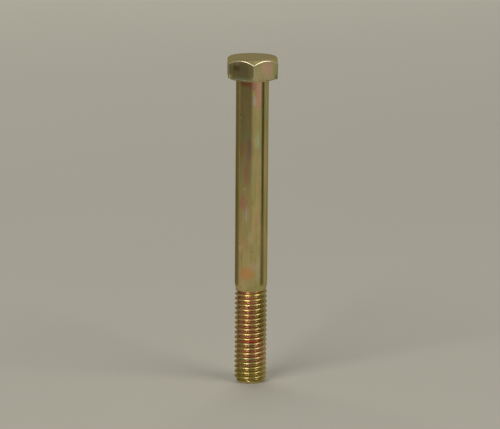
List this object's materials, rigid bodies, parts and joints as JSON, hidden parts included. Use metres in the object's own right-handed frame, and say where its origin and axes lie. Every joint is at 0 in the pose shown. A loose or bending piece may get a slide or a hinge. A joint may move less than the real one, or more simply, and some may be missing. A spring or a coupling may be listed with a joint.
{
  "type": "hex bolt",
  "caption": "Long partly threaded steel hex bolt with a chamfered head, a plain shank and a right-hand coarse thread, yellow zinc plated.",
  "frame": {"origin": "the point on the bolt's axis in the plane of the head's bearing face", "axes": "+Z along the axis from the bearing face towards the top of the head; the threaded end points down -Z; the head's flats face +X and -X, and its corners lie on the Y axis"},
  "size_m": [0.019, 0.022, 0.1289],
  "materials": {
    "head_plating": "yellow zinc chromate over forged steel",
    "shank_plating": "yellow zinc chromate over drawn steel",
    "thread_plating": "yellow zinc chromate over rolled steel"
  },
  "bodies": {
    "root": {"hex_head": "head_plating", "shank": "shank_plating", "threaded_end": "thread_plating"}
  },
  "joints": []
}
